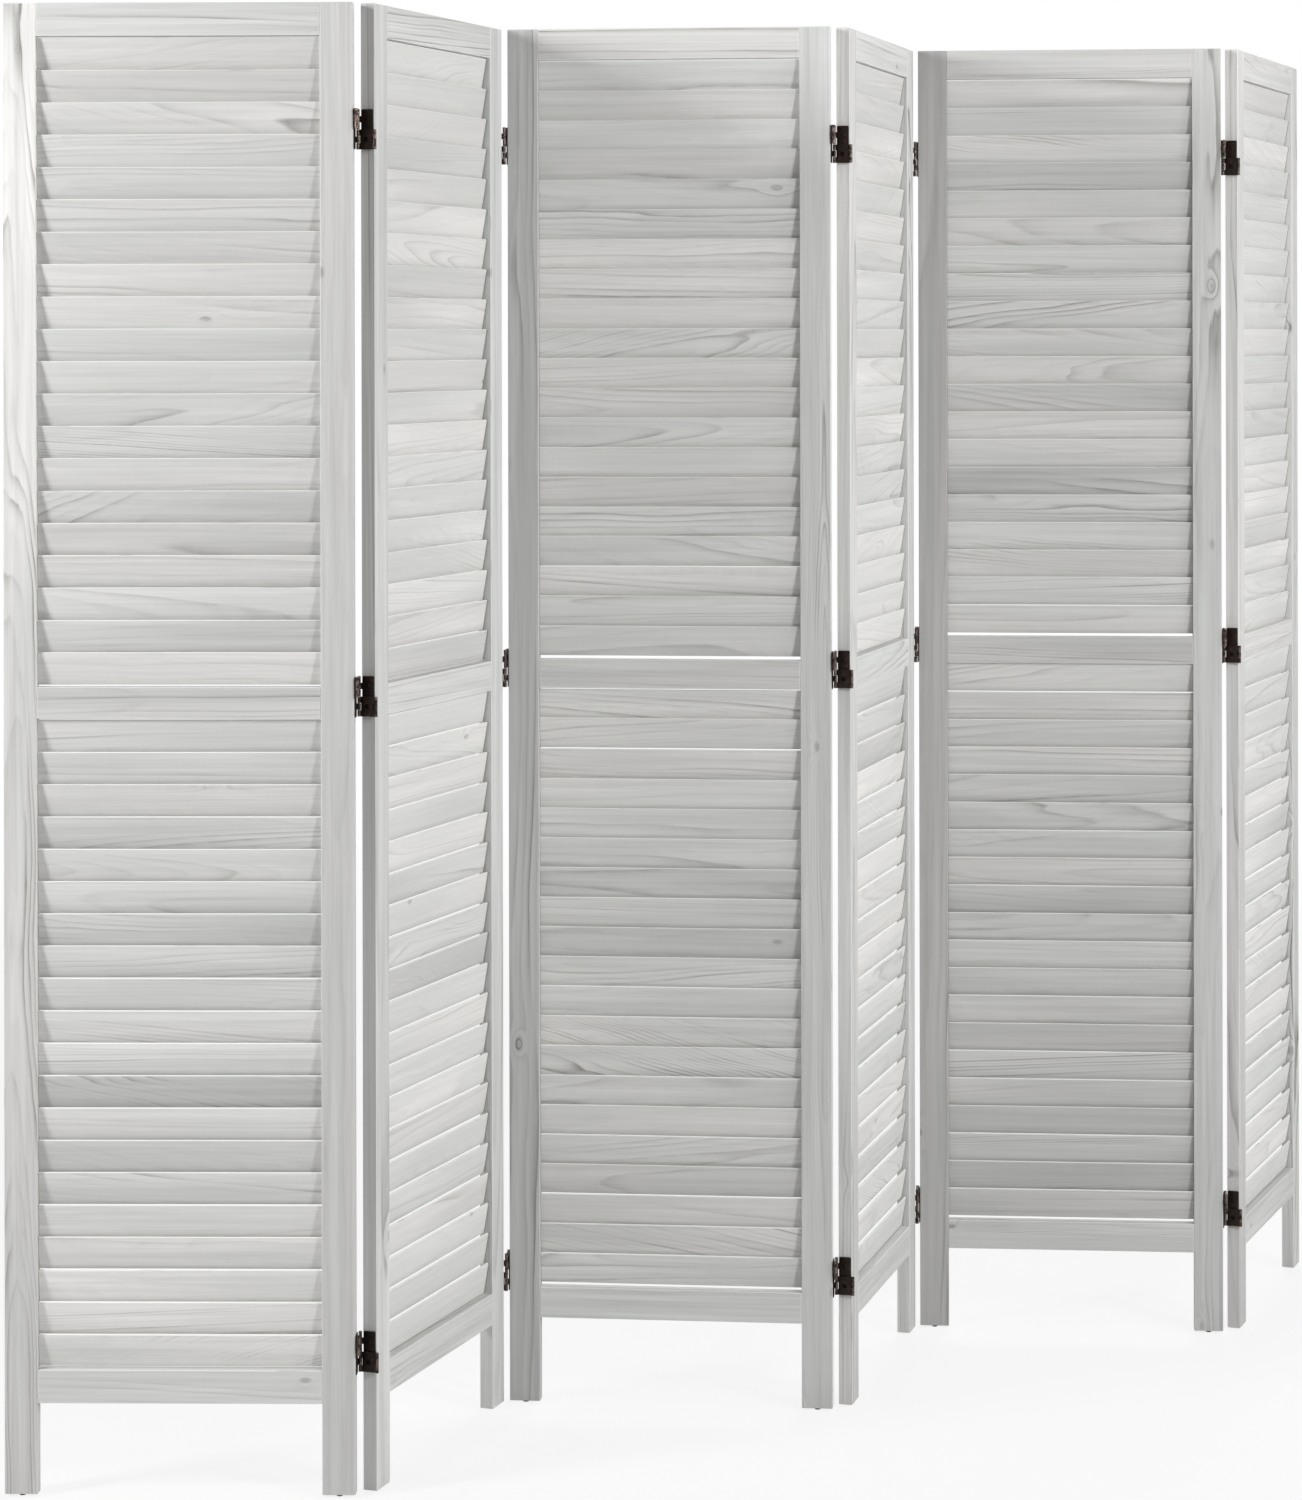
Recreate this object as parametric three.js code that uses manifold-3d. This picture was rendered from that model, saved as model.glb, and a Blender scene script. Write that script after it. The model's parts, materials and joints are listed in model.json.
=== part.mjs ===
// A six-panel folding screen: louvred wooden panels joined by two-way hinges, standing in a zigzag.
// Lengths are in millimetres and angles in degrees. A panel's own frame has x along the panel from
// its left edge, y from its front face to its rear face, and z up from the floor.
import * as THREE from "three";
import { mergeVertices } from "three/addons/utils/BufferGeometryUtils.js";
import Module from "manifold-3d";

const wasm = await Module();
wasm.setup();

// The screen as a whole. A turn is the angle from the line of one panel to the next:
// a positive one closes the rear faces, a negative one the front faces.
const screenHeight = 1700;
const panelWidth = 400;
const frameThickness = 17;
const panelTurns = [72, -77, 81, -80, 74.5];

// The frame of a panel: two stiles that reach the floor, three rails between them.
const stileWidth = 38;
const topRailHeight = 38;
const middleRailHeight = 36;
const bottomRailHeight = 38;
const legHeight = 103.5;
const cornerEase = 0.8;

// The glide pressed into the foot of each stile.
const glideHeight = 3;
const glideDiameter = 8;
const glideSides = 8;

// The slats: each one leans forward at its top, in front of the foot of the slat above.
const slatsPerBank = 20;
const slatWidth = 38;
const slatThickness = 2.4;
const slatTilt = 9.7;
const slatToRailGap = 1.2;

// The groove in the inner edge of a stile holds the rails' tongues and the ends of the slats.
const fitGap = 0.3;
const grooveDepth = 8;
const grooveWall = 3.8;
const tongueShoulder = 6;
const endStripThickness = 3;

// The two-way hinge: a leaf on the edge of each panel, and two links that cross the gap between
// the leaves, one in the upper half and one in the lower half. Each link is pinned at the front
// and at the rear, so two pins stand in line on each side of the panels.
const hingeHeight = 46;
const topHingeBelowTop = 144;
const middleHingeAboveRail = 6;
const bottomHingeAboveFloor = 162;
const panelGap = 7.6;
const pinStandOff = 1.8;
const plateThickness = 1.2;
const leafWidth = 14.4;
const barrelRadius = 2;
const barrelSides = 8;
const pinRadius = 0.9;
const pinSides = 6;
const boreRadius = 1.36;
const knuckleGap = 0.4;
const barrelToPlateGap = 0.6;
const knucklesPerLink = 3;

// Heights worked out from the sizes above.
const bottomRailFoot = glideHeight + legHeight;
const lowerBankFoot = bottomRailFoot + bottomRailHeight;
const upperBankTop = screenHeight - topRailHeight;
const middleRailCentre = (lowerBankFoot + upperBankTop) / 2;
const lowerBankTop = middleRailCentre - middleRailHeight / 2;
const upperBankFoot = middleRailCentre + middleRailHeight / 2;
const hingeLevels = {
  top: screenHeight - topHingeBelowTop,
  middle: middleRailCentre + middleHingeAboveRail,
  bottom: bottomHingeAboveFloor,
};
const midThickness = frameThickness / 2;
const pinFromMid = midThickness + pinStandOff;

const finishes = {
  frame: { color: 0xd6d4d0, roughness: 0.7, metalness: 0 },
  slats: { color: 0xcdcbc8, roughness: 0.72, metalness: 0 },
  hinge: { color: 0x241a15, roughness: 0.45, metalness: 0.6 },
};

// A box between two opposite corners.
function box([x0, y0, z0], [x1, y1, z1]) {
  const shape = new THREE.BoxGeometry(x1 - x0, y1 - y0, z1 - z0);
  return shape.translate((x0 + x1) / 2, (y0 + y1) / 2, (z0 + z1) / 2);
}

// An upright round bar about the axis at x, y.
function upright(radius, sides, [x, y], z0, z1) {
  const bar = new THREE.CylinderGeometry(radius, radius, z1 - z0, sides);
  return bar.rotateX(Math.PI / 2).translate(x, y, (z0 + z1) / 2);
}

// A straight bar of rectangular section whose four long edges are eased, drawn up from z = 0.
function easedBar(width, depth, length) {
  const e = cornerEase;
  const outline = new THREE.Shape([
    new THREE.Vector2(e, 0),
    new THREE.Vector2(width - e, 0),
    new THREE.Vector2(width, e),
    new THREE.Vector2(width, depth - e),
    new THREE.Vector2(width - e, depth),
    new THREE.Vector2(e, depth),
    new THREE.Vector2(0, depth - e),
    new THREE.Vector2(0, e),
  ]);
  return new THREE.ExtrudeGeometry(outline, { depth: length, bevelEnabled: false });
}

function solidOf(geometry) {
  const plain = geometry.clone();
  plain.deleteAttribute("normal");
  plain.deleteAttribute("uv");
  const merged = mergeVertices(plain);
  const vertProperties = merged.attributes.position.array;
  const triVerts = new Uint32Array(merged.index.array);
  return new wasm.Manifold(new wasm.Mesh({ numProp: 3, vertProperties, triVerts }));
}

function geometryOf(solid) {
  const { vertProperties, triVerts } = solid.getMesh();
  const indexed = new THREE.BufferGeometry();
  indexed.setAttribute("position", new THREE.BufferAttribute(vertProperties, 3));
  indexed.setIndex(new THREE.BufferAttribute(triVerts, 1));
  const faceted = indexed.toNonIndexed();
  faceted.computeVertexNormals();
  return faceted;
}

// Joins the first list of geometries and cuts the second list out of them.
function shaped(joined, cut = []) {
  const whole = joined.map(solidOf).reduce((sum, piece) => sum.add(piece));
  return geometryOf(cut.map(solidOf).reduce((rest, tool) => rest.subtract(tool), whole));
}

// The left stile, with the stopped groove in its inner edge and the glide under its foot.
function stileGeometry() {
  const body = easedBar(stileWidth, frameThickness, screenHeight - glideHeight);
  body.translate(0, 0, glideHeight);
  const glideCentre = [stileWidth / 2, midThickness];
  const glide = upright(glideDiameter / 2, glideSides, glideCentre, 0, glideHeight + fitGap);
  const groove = box(
    [stileWidth - grooveDepth, grooveWall, bottomRailFoot + tongueShoulder - fitGap],
    [stileWidth + fitGap, frameThickness - grooveWall, screenHeight - tongueShoulder + fitGap],
  );
  return shaped([body, glide], [groove]);
}

// A tongue that runs the whole length of a rail and stands out at both ends, into the grooves.
function tongue(foot, top) {
  const reach = stileWidth - grooveDepth + fitGap;
  return box(
    [reach, grooveWall + fitGap, foot],
    [panelWidth - reach, frameThickness - grooveWall - fitGap, top],
  );
}

// The body of a rail, from stile to stile.
function railBody(foot, height) {
  const length = panelWidth - 2 * (stileWidth + fitGap);
  const bar = easedBar(height, frameThickness, length);
  bar.rotateY(-Math.PI / 2).rotateZ(Math.PI);
  return bar.translate(stileWidth + fitGap, frameThickness, foot);
}

function topRailGeometry() {
  const tongueTop = screenHeight - tongueShoulder;
  return shaped([railBody(upperBankTop, topRailHeight), tongue(upperBankTop, tongueTop)]);
}

function bottomRailGeometry() {
  const tongueFoot = bottomRailFoot + tongueShoulder;
  return shaped([railBody(bottomRailFoot, bottomRailHeight), tongue(tongueFoot, lowerBankFoot)]);
}

// The slats of one bank, evenly spaced between two rails, with their ends in the end strips.
function slatBank(foot, top) {
  const tilt = THREE.MathUtils.degToRad(slatTilt);
  const halfRise = (slatWidth * Math.cos(tilt) + slatThickness * Math.sin(tilt)) / 2;
  const first = foot + slatToRailGap + halfRise;
  const last = top - slatToRailGap - halfRise;
  const endInset = stileWidth - fitGap - endStripThickness / 2;
  const slatLength = panelWidth - 2 * endInset;
  return Array.from({ length: slatsPerBank }, (_, i) => {
    const level = first + ((last - first) * i) / (slatsPerBank - 1);
    const slat = new THREE.BoxGeometry(slatLength, slatThickness, slatWidth);
    return slat.rotateX(tilt).translate(panelWidth / 2, midThickness, level);
  });
}

// Both banks of slats with the middle rail between them. The end strips lie in the stiles'
// grooves, where the ends of the slats are let in, and hold the whole louvre together.
function louvreGeometry() {
  const stripInner = stileWidth - fitGap;
  const strip = (x0, x1) =>
    box(
      [x0, grooveWall + fitGap, lowerBankFoot + fitGap],
      [x1, frameThickness - grooveWall - fitGap, upperBankTop - fitGap],
    );
  return shaped([
    strip(stripInner - endStripThickness, stripInner),
    strip(panelWidth - stripInner, panelWidth - stripInner + endStripThickness),
    railBody(lowerBankTop, middleRailHeight),
    tongue(lowerBankTop + tongueShoulder, upperBankFoot - tongueShoulder),
    ...slatBank(lowerBankFoot, lowerBankTop),
    ...slatBank(upperBankFoot, upperBankTop),
  ]);
}

// One side of a hinge whose rear pins are in use, drawn with the panels in line: the leaf on the
// left panel's edge with the upper link that stays in line with it. Its frame is centred between
// the two panels, with y = 0 half-way through their thickness. The leaf has one knuckle on the
// front pin of the upper half and one on the rear pin of the lower half. The link has the outer
// knuckles on both pins of the upper half, and carries the rear pin. The other side of the hinge,
// and both sides of a hinge whose front pins are in use, are this shape turned over.
function hingeSideGeometry() {
  const half = hingeHeight / 2;
  const linkFoot = knuckleGap / 2;
  const knuckleLength = (half - linkFoot - 2 * knuckleGap) / knucklesPerLink;
  const middleFoot = linkFoot + knuckleLength + knuckleGap;
  const middleTop = middleFoot + knuckleLength;
  const front = [0, -pinFromMid];
  const rear = [0, pinFromMid];
  const leafOuter = fitGap - panelGap / 2;
  const leafInner = leafOuter + plateThickness;
  const halfPlate = plateThickness / 2;
  const leafEdge = leafWidth / 2;
  const linkEdge = pinFromMid - barrelRadius - barrelToPlateGap;
  const armOuter = pinFromMid + halfPlate;
  const armInner = pinFromMid - halfPlate;
  const leaf = box([leafOuter, -leafEdge, -half], [leafInner, leafEdge, half]);
  // An arm of the leaf runs out past the panel's face and bends in to its knuckle.
  const leafArm = (side, z0, z1) => {
    const outline = new THREE.Shape([
      new THREE.Vector2(leafOuter, side * leafEdge),
      new THREE.Vector2(leafOuter, side * armOuter),
      new THREE.Vector2(0, side * armOuter),
      new THREE.Vector2(0, side * armInner),
      new THREE.Vector2(leafInner, side * armInner),
      new THREE.Vector2(leafInner, side * leafEdge),
    ]);
    const bar = new THREE.ExtrudeGeometry(outline, { depth: z1 - z0, bevelEnabled: false });
    return bar.translate(0, 0, z0);
  };
  const frontArm = leafArm(-1, middleFoot, middleTop);
  const rearArm = leafArm(1, -middleTop, -middleFoot);
  const linkPlate = box([-halfPlate, -linkEdge, linkFoot], [halfPlate, linkEdge, half]);
  const outerKnuckles = [
    [linkFoot, linkFoot + knuckleLength],
    [middleTop + knuckleGap, half],
  ];
  const linkArms = outerKnuckles.map(([z0, z1]) =>
    box([-halfPlate, -pinFromMid, z0], [halfPlate, pinFromMid, z1]),
  );
  const rearKnuckles = outerKnuckles.map(([z0, z1]) =>
    upright(barrelRadius, barrelSides, rear, z0, z1),
  );
  const frontBarrel = upright(barrelRadius, barrelSides, front, linkFoot, half);
  const rearPin = upright(pinRadius, pinSides, rear, linkFoot + knuckleGap, half - knuckleGap);
  const leafKnuckle = upright(barrelRadius, barrelSides, rear, -middleTop, -middleFoot);
  const bore = upright(boreRadius, barrelSides, rear, -half, 0);
  return shaped(
    [leaf, frontArm, rearArm, linkPlate, ...linkArms, ...rearKnuckles]
      .concat([frontBarrel, rearPin, leafKnuckle]),
    [bore],
  );
}

const stile = stileGeometry();
const topRail = topRailGeometry();
const bottomRail = bottomRailGeometry();
const louvre = louvreGeometry();
const hingeSide = hingeSideGeometry();

function piece(name, geometry, finish, [x, y, z] = [0, 0, 0]) {
  const mesh = new THREE.Mesh(geometry, new THREE.MeshStandardMaterial(finishes[finish]));
  mesh.name = name;
  mesh.position.set(x, y, z);
  return mesh;
}

// The wooden pieces of one panel. The right stile is the left one turned round.
function panel(number) {
  const group = new THREE.Group();
  const name = (part) => `panel_${number}_${part}`;
  const rightStile = piece(name("right_stile"), stile, "frame", [panelWidth, frameThickness, 0]);
  rightStile.rotation.z = Math.PI;
  return group.add(
    piece(name("left_stile"), stile, "frame"),
    rightStile,
    piece(name("top_rail"), topRail, "frame"),
    piece(name("bottom_rail"), bottomRail, "frame"),
    piece(name("louvre"), louvre, "slats"),
  );
}

// The three hinges between two panels, one side on each of them.
function addHinges(leftPanel, rightPanel, number, rearFold) {
  const [leftAxis, rightAxis] = rearFold ? [null, "y"] : ["x", "z"];
  const sides = [
    ["left_side", leftPanel, panelWidth + panelGap / 2, leftAxis],
    ["right_side", rightPanel, -panelGap / 2, rightAxis],
  ];
  for (const [level, height] of Object.entries(hingeLevels)) {
    for (const [side, owner, x, axis] of sides) {
      const name = `hinge_${number}_${number + 1}_${level}_${side}`;
      const half = piece(name, hingeSide, "hinge", [x, midThickness, height]);
      if (axis) half.rotation[axis] = Math.PI;
      owner.add(half);
    }
  }
}

// The panels in a chain, each one turned about the pins that it folds on.
const screen = panel(1);
let last = screen;
panelTurns.forEach((turn, i) => {
  const rearFold = turn > 0;
  const pinY = rearFold ? midThickness + pinFromMid : midThickness - pinFromMid;
  const next = panel(i + 2);
  addHinges(last, next, i + 1, rearFold);
  const pivot = new THREE.Group();
  pivot.position.set(panelWidth + panelGap / 2, pinY, 0);
  pivot.rotation.z = THREE.MathUtils.degToRad(turn);
  next.position.set(panelGap / 2, -pinY, 0);
  last.add(pivot.add(next));
  last = next;
});

// The origin is on the floor, under the middle of the standing screen.
const extent = new THREE.Box3().setFromObject(screen);
const middle = extent.getCenter(new THREE.Vector3());
screen.position.set(-middle.x, -middle.y, 0);

export default new THREE.Group().add(screen);
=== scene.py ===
import json
import math
import random

import bmesh
import bpy
from mathutils import Matrix, Vector

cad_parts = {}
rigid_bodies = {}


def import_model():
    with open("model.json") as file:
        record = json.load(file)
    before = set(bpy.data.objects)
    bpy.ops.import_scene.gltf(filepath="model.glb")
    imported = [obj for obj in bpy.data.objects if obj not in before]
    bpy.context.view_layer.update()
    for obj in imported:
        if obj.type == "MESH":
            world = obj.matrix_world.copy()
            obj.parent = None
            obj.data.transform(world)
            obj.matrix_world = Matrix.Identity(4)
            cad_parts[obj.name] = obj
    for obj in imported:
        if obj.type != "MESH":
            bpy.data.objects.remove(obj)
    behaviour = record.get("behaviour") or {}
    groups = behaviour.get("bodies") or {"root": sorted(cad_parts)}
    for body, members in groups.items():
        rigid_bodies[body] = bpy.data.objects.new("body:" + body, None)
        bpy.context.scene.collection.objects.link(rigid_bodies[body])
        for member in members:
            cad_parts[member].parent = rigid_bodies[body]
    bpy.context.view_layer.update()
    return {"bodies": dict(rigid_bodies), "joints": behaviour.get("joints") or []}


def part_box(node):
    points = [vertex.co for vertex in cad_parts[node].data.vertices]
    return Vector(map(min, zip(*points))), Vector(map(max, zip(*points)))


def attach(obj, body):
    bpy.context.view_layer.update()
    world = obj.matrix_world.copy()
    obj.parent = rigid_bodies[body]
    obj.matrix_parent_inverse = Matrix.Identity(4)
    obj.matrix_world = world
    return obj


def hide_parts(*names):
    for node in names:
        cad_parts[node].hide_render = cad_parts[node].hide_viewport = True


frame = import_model()
mm = 0.001


# The standing screen. Six panels stand in a zigzag, each one hung on the hinges of the one before.
# Every piece is drawn in its panel's own frame, as on the bench: x along the panel from its left
# edge, y from front to back and z up. Then it is stood in its panel's place in the room.
corner, stile_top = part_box("panel_1_left_stile")
panel_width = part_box("panel_1_right_stile")[1].x - corner.x
panel_thickness = stile_top.y - corner.y
panel_numbers = range(1, len(frame["bodies"]) + 1)

heading = 0.0
stand = Matrix.Translation((corner.x, corner.y, 0))
stands = {1: stand}
for number, joint in enumerate(frame["joints"], 2):
    pin = Vector(joint["pos_m"])
    pin_in_panel = stand.inverted() @ pin
    half_gap = pin_in_panel.x - panel_width
    heading -= math.radians(joint["range_deg"][0]) * joint["axis"][2]
    stand = Matrix.Translation((pin.x, pin.y, 0)) @ Matrix.Rotation(heading, 4, "Z")
    stand = stand @ Matrix.Translation((half_gap, -pin_in_panel.y, 0))
    stands[number] = stand


def body_of(number):
    return f"panel_{number}"


def stood(name, mesh, number, slot, *nodes):
    """A finished piece from a mesh in its panel's frame, riding on that panel."""
    mesh.transform(stands[number])
    piece = bpy.data.objects.new(name, mesh)
    bpy.context.scene.collection.objects.link(piece)
    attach(piece, body_of(number))
    if nodes:
        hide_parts(*nodes)
    return piece


# The whitewashed wood of every board. Pale softwood is brushed with thin white paint, which soaks
# into the soft wood of each growth ring and leaves the harder line between two rings grey. The
# pattern is the inside of a tree trunk, and each board is cut from it at a place of its own.
class Flow:
    """What leaves a socket of a node tree. Arithmetic on it adds the Math nodes."""

    def __init__(self, graph, socket):
        self.graph, self.socket = graph, socket

    def other(self, output):
        """What leaves another socket of the same node."""
        return Flow(self.graph, self.socket.node.outputs[output])

    def math(self, operation, *values):
        return self.graph.node("ShaderNodeMath", {"operation": operation}, dict(enumerate(values)))

    def __add__(self, other):
        return self.math("ADD", self, other)

    def __sub__(self, other):
        return self.math("SUBTRACT", self, other)

    def __rsub__(self, other):
        return self.math("SUBTRACT", other, self)

    def __mul__(self, other):
        return self.math("MULTIPLY", self, other)

    def __truediv__(self, other):
        return self.math("DIVIDE", self, other)

    def __pow__(self, other):
        return self.math("POWER", self, other)

    __radd__ = __add__
    __rmul__ = __mul__


class Graph:
    """The node tree of a material or of Geometry Nodes."""

    def __init__(self, tree):
        self.tree = tree

    def node(self, kind, settings=None, inputs=None, output=0):
        made = self.tree.nodes.new(kind)
        for name, value in (settings or {}).items():
            setattr(made, name, value)
        for name, value in (inputs or {}).items():
            if isinstance(value, Flow):
                self.tree.links.new(value.socket, made.inputs[name])
            else:
                made.inputs[name].default_value = value
        return Flow(self, made.outputs[output]) if len(made.outputs) else None

    def attribute(self, name, output):
        return self.node("ShaderNodeAttribute", {"attribute_name": name}, output=output)

    def between(self, value, low, high):
        """Runs from 0 to 1 as value goes from low to high, smoothly."""
        return self.node("ShaderNodeMapRange", {"interpolation_type": "SMOOTHSTEP"},
                         {"Value": value, "From Min": low, "From Max": high})

    def mixed(self, share, colour_a, colour_b):
        settings = {"data_type": "RGBA", "clamp_factor": True}
        return self.node("ShaderNodeMix", settings, {0: share, 6: colour_a, 7: colour_b}, output=2)

    def vectors(self, operation, first, second, output=0):
        inputs = {0: first, "Scale" if operation == "SCALE" else 1: second}
        return self.node("ShaderNodeVectorMath", {"operation": operation}, inputs, output)

    def parts(self, vector):
        """The three numbers of a vector."""
        x = self.node("ShaderNodeSeparateXYZ", {}, {0: vector})
        return x, x.other(1), x.other(2)

    def vector(self, x, y, z):
        return self.node("ShaderNodeCombineXYZ", {}, {0: x, 1: y, 2: z})


def new_material(name):
    material = bpy.data.materials.new(name)
    material.use_nodes = True
    material.node_tree.nodes.clear()
    return material, Graph(material.node_tree)


def srgb(red, green, blue):
    """A colour as it is read off a picture, 0 to 255, in the linear values that shaders take."""
    return tuple(((c / 255 + 0.055) / 1.055) ** 2.4 for c in (red, green, blue)) + (1.0,)


# The pattern: the widths of the rings, how far off the trunk's pith runs, how far the rings wander,
# and the knots. The relief is the depth of the grain, and the arris tone is a painted highlight,
# lighter than the rest.
thinnest_ring = 2.6 * mm
ring_spread = 4.5 * mm
nearest_pith = 6 * mm
pith_spread = 70 * mm
pith_sideways = 100 * mm
least_slow_wander, most_slow_wander = 8 * mm, 34 * mm
least_quick_wander, most_quick_wander = 0.8 * mm, 7 * mm
knot_core, knot_rim = 1.5 * mm, 4.5 * mm
knot_reach = 8 * mm
knot_push = 12 * mm
relief_depth = 0.3 * mm
arris_highlight_tone = 0.13
knots_per_metre = (3.0, 14.0)
# Along the grain, distances from a knot count only by this share, which draws the knot out.
along_grain_share = 0.5


def whitewashed_wood(name, coverage, knot_share, slant, steepest, figure, arris_light_share):
    """Wood that thin paint covers to the given share, with a knot in that share of the cells of the
    trunk. The saw runs at up to half the given slant to the trunk, in a few boards at up to
    1 + steepest times that, and figure is the strength of the grain. The tone goes by the given
    share toward a painted highlight at an arris of 1, and away from it, as painted shade, at -1."""
    material, graph = new_material(name)
    place = graph.attribute("grain", "Vector")
    board = graph.attribute("board", "Fac")
    # The tone holds painted light and shade as well as each board's own tone.
    tone = graph.attribute("tone", "Fac")
    arris = graph.attribute("arris", "Fac")
    at_end = graph.attribute("at_end", "Fac")
    plainness = graph.attribute("plainness", "Fac")
    along, across, deep = graph.parts(place)

    def chances(seed):
        """Three numbers between 0 and 1 that each board has for itself."""
        colour = graph.node("ShaderNodeTexWhiteNoise", {"noise_dimensions": "1D"},
                            {"W": board * 1000 + seed}, output="Color")
        return graph.parts(colour)

    def grain_noise(per_metre_along, per_metre_across, detail=2.0):
        """Noise around 0 that is drawn out along the grain, and differs from board to board."""
        scales = (per_metre_along, per_metre_across, per_metre_across)
        noise = graph.node("ShaderNodeTexNoise", {"noise_dimensions": "4D"}, {
            "Vector": graph.vectors("MULTIPLY", place, scales),
            "W": board * 1000,
            "Scale": 1.0,
            "Detail": detail,
        })
        return noise - 0.5

    side, depth, spread = chances(0)
    lean, climb, cast = chances(5)
    waviness, knot_place, patchiness = chances(9)

    # Knots: a branch pushes the rings aside, and leaves a dark core, drawn out along the grain.
    cells_along, cells_across = knots_per_metre
    metres_per_cell = (along_grain_share / cells_along, 1 / cells_across, 0.0)
    cell = graph.vectors("ADD", graph.vectors("MULTIPLY", place, (cells_along, cells_across, 0.0)),
                         graph.vector(knot_place * 90, waviness * 70, 0.0))
    branch = graph.node("ShaderNodeTexVoronoi", {"voronoi_dimensions": "2D"},
                        {"Vector": cell, "Scale": 1.0, "Randomness": 0.5}, output="Position")
    off = graph.vectors("MULTIPLY", graph.vectors("SUBTRACT", cell, branch), metres_per_cell)
    from_branch = graph.vectors("LENGTH", off, (0, 0, 0), output="Value")
    drawn = graph.parts(branch.other("Color"))[0]
    knotty = drawn.math("LESS_THAN", drawn, knot_share)
    near_branch = from_branch / knot_reach
    bulge = knotty * near_branch.math("EXPONENT", near_branch * near_branch * -1.0)
    core = knotty * graph.between(from_branch, knot_rim, knot_core)

    # The pith, the trunk's centre line, passes beside the board and leans away along it, steeply
    # in a few boards.
    leaning = lean - 0.5
    steep = (leaning * leaning * 4) ** 3.0 * steepest
    from_side = across + (side - 0.5) * pith_sideways + along * leaning * (steep + 1) * slant
    from_deep = deep + nearest_pith + depth * pith_spread + along * (climb - 0.5) * slant
    slow_wander = waviness * most_slow_wander + least_slow_wander
    quick_wander = waviness * waviness * most_quick_wander + least_quick_wander
    wander = grain_noise(2.2, 14.0) * slow_wander + grain_noise(9.0, 60.0) * quick_wander
    radius = (from_side * from_side + from_deep * from_deep) ** 0.5 + wander + bulge * knot_push
    rings = radius / (spread * ring_spread + thinnest_ring)
    ring = rings.math("FLOOR", rings)
    through_ring = rings - ring
    late_wood = through_ring.math("MINIMUM", through_ring ** 3.0, (1 - through_ring) * 6.0)
    ring_force = graph.node("ShaderNodeTexWhiteNoise", {"noise_dimensions": "1D"},
                            {"W": ring + board * 1000})
    fade = graph.between(grain_noise(3.0, 30.0), -0.1, 0.13)
    line = late_wood * (ring_force * ring_force * 0.9 + 0.1) * (fade * 0.85 + 0.15)

    streak = grain_noise(3.0, 110.0, 2.0)
    thin_streak = grain_noise(6.0, 420.0)
    fibre = grain_noise(24.0, 1300.0)
    blotch = grain_noise(2.5, 16.0, 1.0)
    rubbed = arris * graph.between(grain_noise(14.0, 14.0), 0.1, 0.2)
    drawn_grain = streak * 0.36 + thin_streak * 0.2 - line * (patchiness * 0.6 + 0.55)
    # An arris is painted lighter, a painted highlight, and a slat's lower arris at -1 painted
    # darker, painted shade. Rubbing wears some arrises through.
    covered = (coverage + (cast - 0.5) * 0.1 + drawn_grain * (1 - plainness) * figure + fibre * 0.15
               + blotch * (patchiness * 0.6 + 0.1) - core * 0.4 + arris * 0.4 - rubbed * 0.5
               # Near a slat's end the colour runs to bare grey. This is painted shade of the slot.
               - graph.between(at_end, 0.1, 0.5) * 1.2)
    paint = graph.mixed(cast + blotch * 1.5, cool_white, warm_white)
    colour = graph.mixed(covered, bare_grey, paint)
    relief = fibre * 0.3 - line * 0.5 + streak * 0.3
    bump = graph.node("ShaderNodeBump", {},
                      {"Strength": 0.5, "Distance": relief_depth, "Height": relief})
    # The tone scales the colour. At the arrises it is pulled toward a painted highlight on top and
    # painted shade below.
    edge_light_tone = tone + arris * (arris_highlight_tone - tone) * arris_light_share
    surface = graph.node("ShaderNodeBsdfPrincipled", {}, {
        "Base Color": graph.vectors("SCALE", colour, edge_light_tone + 1),
        "Roughness": 0.72 - line * 0.12 + fibre * 0.1,
        "Normal": bump,
        "Specular IOR Level": 0.35,
    })
    graph.node("ShaderNodeOutputMaterial", {}, {"Surface": surface})
    return material


warm_white = srgb(233, 231, 229)
cool_white = srgb(230, 232, 230)
bare_grey = srgb(136, 134, 131)
frame_wood = whitewashed_wood("whitewashed frame", coverage=0.82, knot_share=0.4, slant=0.08,
                              steepest=0.0, figure=1.45, arris_light_share=0.0)
slat_wood = whitewashed_wood("whitewashed slats", coverage=0.8, knot_share=0.04, slant=0.12,
                             steepest=5.0, figure=1.15, arris_light_share=0.8)


# The stiles: two boards of pale softwood stand at the sides of each panel and reach the floor as
# its legs. They are planed square, their sharp edges are sanded round, and the rails and the slats
# are let into their inner edges.
edge_ease = 0.9 * mm
ease_steps = 3
boards_drawn = random.Random(11)


def eased_box(low, high, ease, steps):
    """A closed block between two corners, with all its edges rounded."""
    block = bmesh.new()
    bmesh.ops.create_cube(block, size=1.0)
    size, middle = high - low, (low + high) / 2
    bmesh.ops.transform(block, matrix=Matrix.Translation(middle) @ Matrix.Diagonal((*size, 1)),
                        verts=block.verts)
    bmesh.ops.bevel(block, geom=block.edges[:], offset=ease, segments=steps, profile=0.5,
                    affect="EDGES")
    return block


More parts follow.
